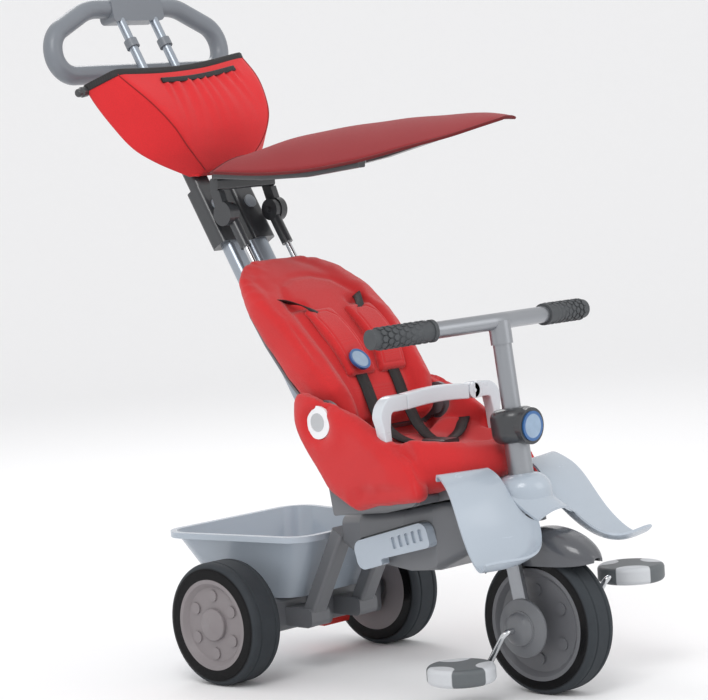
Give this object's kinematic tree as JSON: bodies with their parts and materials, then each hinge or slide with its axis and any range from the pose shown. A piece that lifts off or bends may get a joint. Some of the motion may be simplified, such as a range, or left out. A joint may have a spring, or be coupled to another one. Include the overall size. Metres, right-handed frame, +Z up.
{
  "type": "toddler push tricycle",
  "caption": "Toddler push tricycle with reclining padded seat, harness, bumper bar, canopy, telescopic push handle with storage bag, folding footrest and rear tub.",
  "frame": {"origin": "on the floor under the middle of the whole part's box", "axes": "+X riding direction, +Y the rider's left, +Z up"},
  "size_m": [0.935, 0.4804, 1.0679],
  "materials": {
    "red_fabric": "woven",
    "bag_fabric": "woven",
    "canopy_fabric": "woven",
    "black_webbing": "webbing",
    "tyre_black": "satin",
    "wheel_grey": "satin",
    "chassis_grey": "satin",
    "dark_plastic": "satin",
    "handle_plastic": "satin",
    "light_plastic": "gloss",
    "silver_tube": "metallic silver",
    "bright_steel": "plated",
    "grip_rubber": "ribbed",
    "white_plastic": "gloss",
    "button_grey": "satin",
    "button_blue": "gloss",
    "pedal_plastic": "two tone grey",
    "brake_red": "gloss"
  },
  "bodies": {
    "frame": {"chassis_upper": "chassis_grey", "chassis_lower": "chassis_grey", "head_tube": "silver_tube", "steering_ball": "dark_plastic", "axle_housing": "chassis_grey", "rear_legs": "chassis_grey", "rear_axle": "bright_steel", "brake_pin": "bright_steel", "tub": "light_plastic", "seat_base": "light_plastic", "seat_cushion": "red_fabric", "recline_discs": "white_plastic", "bumper_bracket_left": "light_plastic", "bumper_bracket_right": "light_plastic", "bumper_pin": "bright_steel", "footrest": "light_plastic", "outer_tubes": "silver_tube", "lock_housings": "dark_plastic", "buckle": "dark_plastic", "harness": "black_webbing"},
    "steering": {"stem": "silver_tube", "fork": "silver_tube", "mudguard": "chassis_grey", "hub_covers": "chassis_grey", "handlebar": "silver_tube", "grips": "grip_rubber"},
    "front_wheel": {"front_tyre": "tyre_black", "front_disc": "wheel_grey", "crank": "bright_steel"},
    "pedal_left": {"pedal_left": "pedal_plastic"},
    "pedal_right": {"pedal_right": "pedal_plastic"},
    "rear_wheel_left": {"rear_tyre_left": "tyre_black", "rear_disc_left": "wheel_grey", "rear_cap_left": "wheel_grey"},
    "rear_wheel_right": {"rear_tyre_right": "tyre_black", "rear_disc_right": "wheel_grey", "rear_cap_right": "wheel_grey"},
    "steering_button": {"steering_button": "button_blue"},
    "handle": {"slide_tubes": "silver_tube", "handle_ring": "handle_plastic", "ring_bridge": "handle_plastic", "ring_collars": "handle_plastic", "bag": "bag_fabric"},
    "lock_button_left": {"lock_button_left": "button_grey"},
    "lock_button_right": {"lock_button_right": "button_grey"},
    "backrest": {"backrest_shell": "light_plastic", "backrest_cushion": "red_fabric", "shoulder_pads": "red_fabric", "canopy_rods": "bright_steel", "canopy_sleeves": "dark_plastic"},
    "recline_button_left": {"recline_button_left": "button_grey"},
    "recline_button_right": {"recline_button_right": "button_grey"},
    "canopy": {"canopy_joints": "dark_plastic", "canopy_frame": "dark_plastic", "canopy": "canopy_fabric"},
    "bumper_bar": {"bumper_bar": "light_plastic"},
    "seat_lever_left": {"seat_lever_left": "light_plastic"},
    "seat_lever_right": {"seat_lever_right": "light_plastic"},
    "brake_pedal": {"brake_pedal": "brake_red"}
  },
  "joints": [
    {"name": "steering", "type": "hinge", "parent": "frame", "child": "steering", "pos_m": [0.35403, 0, 0.104], "axis": [-0.1167, 0, 0.9932], "range_deg": [-30, 30]},
    {"name": "front_wheel_spin", "type": "hinge", "parent": "steering", "child": "front_wheel", "pos_m": [0.36353, 0, 0.104], "axis": [0, 1, 0], "continuous": true},
    {"name": "pedal_left_spin", "type": "hinge", "parent": "front_wheel", "child": "pedal_left", "pos_m": [0.39809, 0.157, 0.15427], "axis": [0, 1, 0], "continuous": true},
    {"name": "pedal_right_spin", "type": "hinge", "parent": "front_wheel", "child": "pedal_right", "pos_m": [0.32899, -0.157, 0.05373], "axis": [0, 1, 0], "continuous": true},
    {"name": "rear_wheel_left_spin", "type": "hinge", "parent": "frame", "child": "rear_wheel_left", "pos_m": [-0.12946, 0, 0.095], "axis": [0, 1, 0], "continuous": true},
    {"name": "rear_wheel_right_spin", "type": "hinge", "parent": "frame", "child": "rear_wheel_right", "pos_m": [-0.12946, 0, 0.095], "axis": [0, 1, 0], "continuous": true},
    {"name": "steering_button_press", "type": "slide", "parent": "frame", "child": "steering_button", "axis": [-1, 0, 0], "range_m": [0, 0.003], "stiffness_N_per_m": 400},
    {"name": "handle_extend", "type": "slide", "parent": "frame", "child": "handle", "axis": [-0.5075, 0, 0.8616], "range_m": [0, 0.06]},
    {"name": "lock_button_left_press", "type": "slide", "parent": "frame", "child": "lock_button_left", "axis": [-0.8616, 0, -0.5075], "range_m": [0, 0.003], "stiffness_N_per_m": 400},
    {"name": "lock_button_right_press", "type": "slide", "parent": "frame", "child": "lock_button_right", "axis": [-0.8616, 0, -0.5075], "range_m": [0, 0.003], "stiffness_N_per_m": 400},
    {"name": "recline", "type": "hinge", "parent": "frame", "child": "backrest", "pos_m": [0.06153, 0, 0.405], "axis": [0, 1, 0], "range_deg": [0, 20], "deforming": ["harness"]},
    {"name": "recline_button_left_press", "type": "slide", "parent": "frame", "child": "recline_button_left", "axis": [0, -1, 0], "range_m": [0, 0.004], "stiffness_N_per_m": 400},
    {"name": "recline_button_right_press", "type": "slide", "parent": "frame", "child": "recline_button_right", "axis": [0, 1, 0], "range_m": [0, 0.004], "stiffness_N_per_m": 400},
    {"name": "canopy_tilt", "type": "hinge", "parent": "backrest", "child": "canopy", "pos_m": [-0.19947, 0, 0.715], "axis": [0, 1, 0], "range_deg": [-25, 12]},
    {"name": "bumper_bar_open", "type": "hinge", "parent": "frame", "child": "bumper_bar", "pos_m": [0.17254, 0.076, 0.431], "axis": [-1, 0, 0], "range_deg": [0, 85]},
    {"name": "seat_lever_left_press", "type": "hinge", "parent": "frame", "child": "seat_lever_left", "pos_m": [0.08754, 0.077, 0.204], "axis": [0, 1, 0], "range_deg": [0, 15], "stiffness_Nm_per_rad": 2},
    {"name": "seat_lever_right_press", "type": "hinge", "parent": "frame", "child": "seat_lever_right", "pos_m": [0.08754, -0.077, 0.204], "axis": [0, 1, 0], "range_deg": [0, 15], "stiffness_Nm_per_rad": 2},
    {"name": "brake_pedal_press", "type": "hinge", "parent": "frame", "child": "brake_pedal", "pos_m": [-0.16246, 0.092, 0.066], "axis": [0, 1, 0], "range_deg": [-12, 0]}
  ]
}
